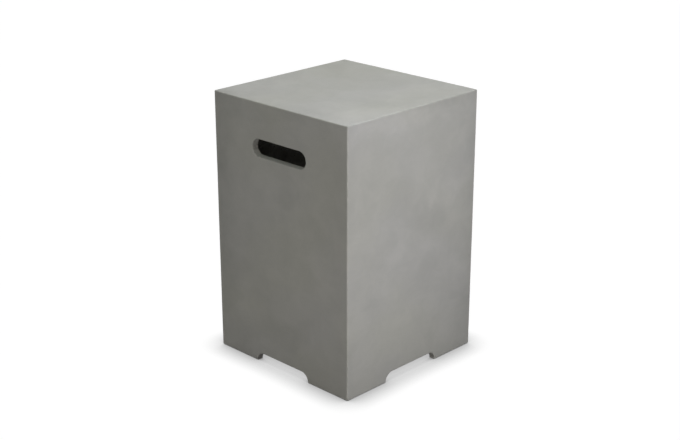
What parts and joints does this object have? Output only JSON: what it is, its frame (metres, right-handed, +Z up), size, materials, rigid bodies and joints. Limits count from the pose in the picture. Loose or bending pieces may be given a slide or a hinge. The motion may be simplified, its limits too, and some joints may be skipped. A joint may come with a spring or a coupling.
{
  "type": "gas cylinder cover table",
  "caption": "Square concrete side table, open underneath, that hides a gas cylinder; hand slots near the top and hose notches at the foot.",
  "frame": {"origin": "middle of the footprint, on the ground under the foot pads", "axes": "+Z up; the front, with one of the two hand slots, faces -Y; +X to the front's right"},
  "size_m": [0.4, 0.4, 0.6005],
  "materials": {
    "face_mix": "smooth matt grey concrete, faintly clouded",
    "fibre_concrete": "rough rolled glass-fibre concrete",
    "glass_net": "coated glass-fibre net",
    "pad_rubber": "matt black sheet rubber"
  },
  "bodies": {
    "root": {"face_coat": "face_mix", "fibre_backing": "fibre_concrete", "scrim_top": "glass_net", "scrim_front": "glass_net", "scrim_rear": "glass_net", "scrim_left": "glass_net", "scrim_right": "glass_net", "foot_pad_front_left": "pad_rubber", "foot_pad_front_right": "pad_rubber", "foot_pad_rear_left": "pad_rubber", "foot_pad_rear_right": "pad_rubber"}
  },
  "joints": []
}
